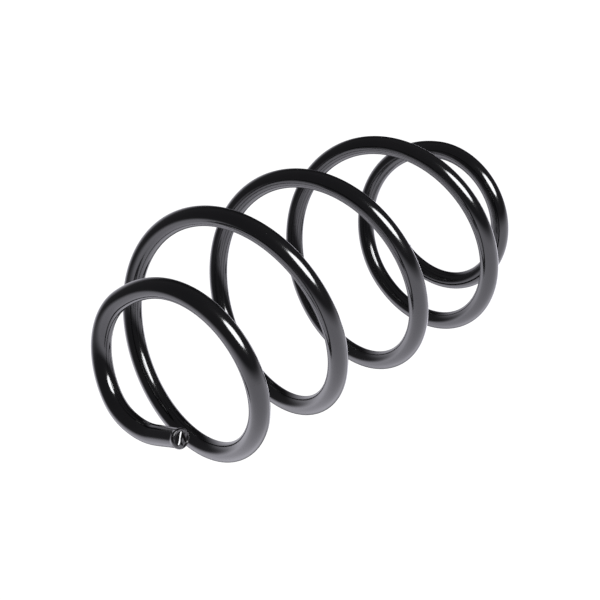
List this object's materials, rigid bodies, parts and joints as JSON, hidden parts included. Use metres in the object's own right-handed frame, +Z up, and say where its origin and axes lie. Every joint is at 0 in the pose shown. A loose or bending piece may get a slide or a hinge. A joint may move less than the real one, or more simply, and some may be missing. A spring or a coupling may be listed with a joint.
{
  "type": "coil spring",
  "caption": "Front suspension coil spring of black-coated round bar, with a reduced coil at each end; it compresses along its axis between two seats",
  "frame": {"origin": "on the spring's own axis, in the plane that the lower end coil stands on", "axes": "+Z up along the spring's axis from the lower end to the upper end; the bar's upper tip lies 13 degrees past +X, towards +Y"},
  "size_m": [0.1536, 0.1532, 0.3039],
  "materials": {
    "bar": "glossy black powder coat"
  },
  "bodies": {
    "lower_end_coil": {"lower_end_coil": "bar"},
    "turn1_arc1": {"turn1_arc1": "bar"},
    "turn1_arc2": {"turn1_arc2": "bar"},
    "turn1_arc3": {"turn1_arc3": "bar"},
    "turn1_arc4": {"turn1_arc4": "bar"},
    "turn1_arc5": {"turn1_arc5": "bar"},
    "turn1_arc6": {"turn1_arc6": "bar"},
    "turn2_arc1": {"turn2_arc1": "bar"},
    "turn2_arc2": {"turn2_arc2": "bar"},
    "turn2_arc3": {"turn2_arc3": "bar"},
    "turn2_arc4": {"turn2_arc4": "bar"},
    "turn2_arc5": {"turn2_arc5": "bar"},
    "turn2_arc6": {"turn2_arc6": "bar"},
    "turn3_arc1": {"turn3_arc1": "bar"},
    "turn3_arc2": {"turn3_arc2": "bar"},
    "turn3_arc3": {"turn3_arc3": "bar"},
    "turn3_arc4": {"turn3_arc4": "bar"},
    "turn3_arc5": {"turn3_arc5": "bar"},
    "turn3_arc6": {"turn3_arc6": "bar"},
    "turn4_arc1": {"turn4_arc1": "bar"},
    "turn4_arc2": {"turn4_arc2": "bar"},
    "turn4_arc3": {"turn4_arc3": "bar"},
    "turn4_arc4": {"turn4_arc4": "bar"},
    "turn4_arc5": {"turn4_arc5": "bar"},
    "upper_end_coil": {"upper_end_coil": "bar"}
  },
  "joints": [
    {"name": "compression", "type": "hinge", "parent": "lower_end_coil", "child": "turn1_arc1", "pos_m": [-0.05235, 0, 0.00642], "axis": [-0.1668, -0.9851, 0.0416], "range_deg": [-3.46, 0], "stiffness_Nm_per_rad": 2915.3},
    {"name": "twist_2", "type": "hinge", "parent": "turn1_arc1", "child": "turn1_arc2", "pos_m": [-0.03259, -0.05645, 0.01278], "axis": [0.7509, -0.6435, 0.1485], "range_deg": [-4.35, 0], "stiffness_Nm_per_rad": 2341.2},
    {"name": "twist_3", "type": "hinge", "parent": "turn1_arc2", "child": "turn1_arc3", "pos_m": [0.03557, -0.06161, 0.02513], "axis": [0.8526, 0.4941, 0.1704], "range_deg": [-5.63, 0], "stiffness_Nm_per_rad": 2145},
    {"name": "twist_4", "type": "hinge", "parent": "turn1_arc3", "child": "turn1_arc4", "pos_m": [0.07102, 0, 0.03801], "axis": [-0.0016, 0.9853, 0.1707], "range_deg": [-7.19, 0], "stiffness_Nm_per_rad": 2148.7},
    {"name": "twist_5", "type": "hinge", "parent": "turn1_arc4", "child": "turn1_arc5", "pos_m": [0.03545, 0.0614, 0.05089], "axis": [-0.8541, 0.4912, 0.171], "range_deg": [-8.06, 0], "stiffness_Nm_per_rad": 2152.3},
    {"name": "twist_6", "type": "hinge", "parent": "turn1_arc5", "child": "turn1_arc6", "pos_m": [-0.03539, 0.0613, 0.06378], "axis": [-0.8524, -0.494, 0.1712], "range_deg": [-7.57, 0], "stiffness_Nm_per_rad": 2156},
    {"name": "twist_7", "type": "hinge", "parent": "turn1_arc6", "child": "turn2_arc1", "pos_m": [-0.07066, 0, 0.07666], "axis": [0.0016, -0.9852, 0.1715], "range_deg": [-6.39, 0], "stiffness_Nm_per_rad": 2159.8},
    {"name": "twist_8", "type": "hinge", "parent": "turn2_arc1", "child": "turn2_arc2", "pos_m": [-0.03527, -0.06109, 0.08954], "axis": [0.854, -0.4912, 0.1718], "range_deg": [-5.67, 0], "stiffness_Nm_per_rad": 2163.5},
    {"name": "twist_9", "type": "hinge", "parent": "turn2_arc2", "child": "turn2_arc3", "pos_m": [0.03521, -0.06098, 0.10243], "axis": [0.8523, 0.4939, 0.1721], "range_deg": [-5.8, 0], "stiffness_Nm_per_rad": 2167.2},
    {"name": "twist_10", "type": "hinge", "parent": "turn2_arc3", "child": "turn2_arc4", "pos_m": [0.07029, 0, 0.11531], "axis": [-0.0016, 0.985, 0.1724], "range_deg": [-6.29, 0], "stiffness_Nm_per_rad": 2171},
    {"name": "twist_11", "type": "hinge", "parent": "turn2_arc4", "child": "turn2_arc5", "pos_m": [0.03509, 0.06077, 0.12819], "axis": [-0.8538, 0.4911, 0.1727], "range_deg": [-6.63, 0], "stiffness_Nm_per_rad": 2174.8},
    {"name": "twist_12", "type": "hinge", "parent": "turn2_arc5", "child": "turn2_arc6", "pos_m": [-0.03502, 0.06066, 0.14108], "axis": [-0.8522, -0.4939, 0.173], "range_deg": [-6.74, 0], "stiffness_Nm_per_rad": 2178.5},
    {"name": "twist_13", "type": "hinge", "parent": "turn2_arc6", "child": "turn3_arc1", "pos_m": [-0.06993, 0, 0.15396], "axis": [0.0016, -0.9849, 0.1733], "range_deg": [-6.75, 0], "stiffness_Nm_per_rad": 2182.3},
    {"name": "twist_14", "type": "hinge", "parent": "turn3_arc1", "child": "turn3_arc2", "pos_m": [-0.0349, -0.06045, 0.16684], "axis": [0.8537, -0.491, 0.1736], "range_deg": [-6.66, 0], "stiffness_Nm_per_rad": 2186.1},
    {"name": "twist_15", "type": "hinge", "parent": "turn3_arc2", "child": "turn3_arc3", "pos_m": [0.03484, -0.06035, 0.17973], "axis": [0.852, 0.4938, 0.1739], "range_deg": [-6.31, 0], "stiffness_Nm_per_rad": 2190},
    {"name": "twist_16", "type": "hinge", "parent": "turn3_arc3", "child": "turn3_arc4", "pos_m": [0.06956, 0, 0.19261], "axis": [-0.0016, 0.9847, 0.1742], "range_deg": [-5.73, 0], "stiffness_Nm_per_rad": 2193.8},
    {"name": "twist_17", "type": "hinge", "parent": "turn3_arc4", "child": "turn3_arc5", "pos_m": [0.03472, 0.06014, 0.20549], "axis": [-0.8536, 0.4909, 0.1745], "range_deg": [-5.42, 0], "stiffness_Nm_per_rad": 2197.6},
    {"name": "twist_18", "type": "hinge", "parent": "turn3_arc5", "child": "turn3_arc6", "pos_m": [-0.03466, 0.06003, 0.21838], "axis": [-0.8519, -0.4937, 0.1748], "range_deg": [-5.93, 0], "stiffness_Nm_per_rad": 2201.5},
    {"name": "twist_19", "type": "hinge", "parent": "turn3_arc6", "child": "turn4_arc1", "pos_m": [-0.0692, 0, 0.23125], "axis": [0.0017, -0.9847, 0.1741], "range_deg": [-7.07, 0], "stiffness_Nm_per_rad": 2205.4},
    {"name": "twist_20", "type": "hinge", "parent": "turn4_arc1", "child": "turn4_arc2", "pos_m": [-0.03454, -0.05982, 0.24345], "axis": [0.8564, -0.4925, 0.1546], "range_deg": [-7.7, 0], "stiffness_Nm_per_rad": 2209.3},
    {"name": "twist_21", "type": "hinge", "parent": "turn4_arc2", "child": "turn4_arc3", "pos_m": [0.03448, -0.05971, 0.25363], "axis": [0.8585, 0.4976, 0.1242], "range_deg": [-7.08, 0], "stiffness_Nm_per_rad": 2213.2},
    {"name": "twist_22", "type": "hinge", "parent": "turn4_arc3", "child": "turn4_arc4", "pos_m": [0.06883, 0, 0.26176], "axis": [-0.0017, 0.9947, 0.103], "range_deg": [-5.74, 0], "stiffness_Nm_per_rad": 2217.1},
    {"name": "twist_23", "type": "hinge", "parent": "turn4_arc4", "child": "turn4_arc5", "pos_m": [0.03313, 0.05738, 0.26913], "axis": [-0.9236, 0.3689, 0.1043], "range_deg": [-4.66, 0], "stiffness_Nm_per_rad": 2303.1},
    {"name": "twist_24", "type": "hinge", "parent": "turn4_arc5", "child": "upper_end_coil", "pos_m": [-0.02567, 0.04446, 0.27648], "axis": [-0.6778, -0.7237, 0.1297], "range_deg": [-3.38, 0], "stiffness_Nm_per_rad": 2972.2}
  ],
  "couplings": [
    {"joint": "twist_2", "follows": "compression", "ratio": 1.2579},
    {"joint": "twist_3", "follows": "compression", "ratio": 1.6262},
    {"joint": "twist_4", "follows": "compression", "ratio": 2.0786},
    {"joint": "twist_5", "follows": "compression", "ratio": 2.3279},
    {"joint": "twist_6", "follows": "compression", "ratio": 2.1883},
    {"joint": "twist_7", "follows": "compression", "ratio": 1.8464},
    {"joint": "twist_8", "follows": "compression", "ratio": 1.6388},
    {"joint": "twist_9", "follows": "compression", "ratio": 1.6754},
    {"joint": "twist_10", "follows": "compression", "ratio": 1.8165},
    {"joint": "twist_11", "follows": "compression", "ratio": 1.9161},
    {"joint": "twist_12", "follows": "compression", "ratio": 1.9481},
    {"joint": "twist_13", "follows": "compression", "ratio": 1.9519},
    {"joint": "twist_14", "follows": "compression", "ratio": 1.9255},
    {"joint": "twist_15", "follows": "compression", "ratio": 1.8221},
    {"joint": "twist_16", "follows": "compression", "ratio": 1.6554},
    {"joint": "twist_17", "follows": "compression", "ratio": 1.5653},
    {"joint": "twist_18", "follows": "compression", "ratio": 1.7148},
    {"joint": "twist_19", "follows": "compression", "ratio": 2.0444},
    {"joint": "twist_20", "follows": "compression", "ratio": 2.2255},
    {"joint": "twist_21", "follows": "compression", "ratio": 2.0465},
    {"joint": "twist_22", "follows": "compression", "ratio": 1.6587},
    {"joint": "twist_23", "follows": "compression", "ratio": 1.3469},
    {"joint": "twist_24", "follows": "compression", "ratio": 0.97653}
  ]
}
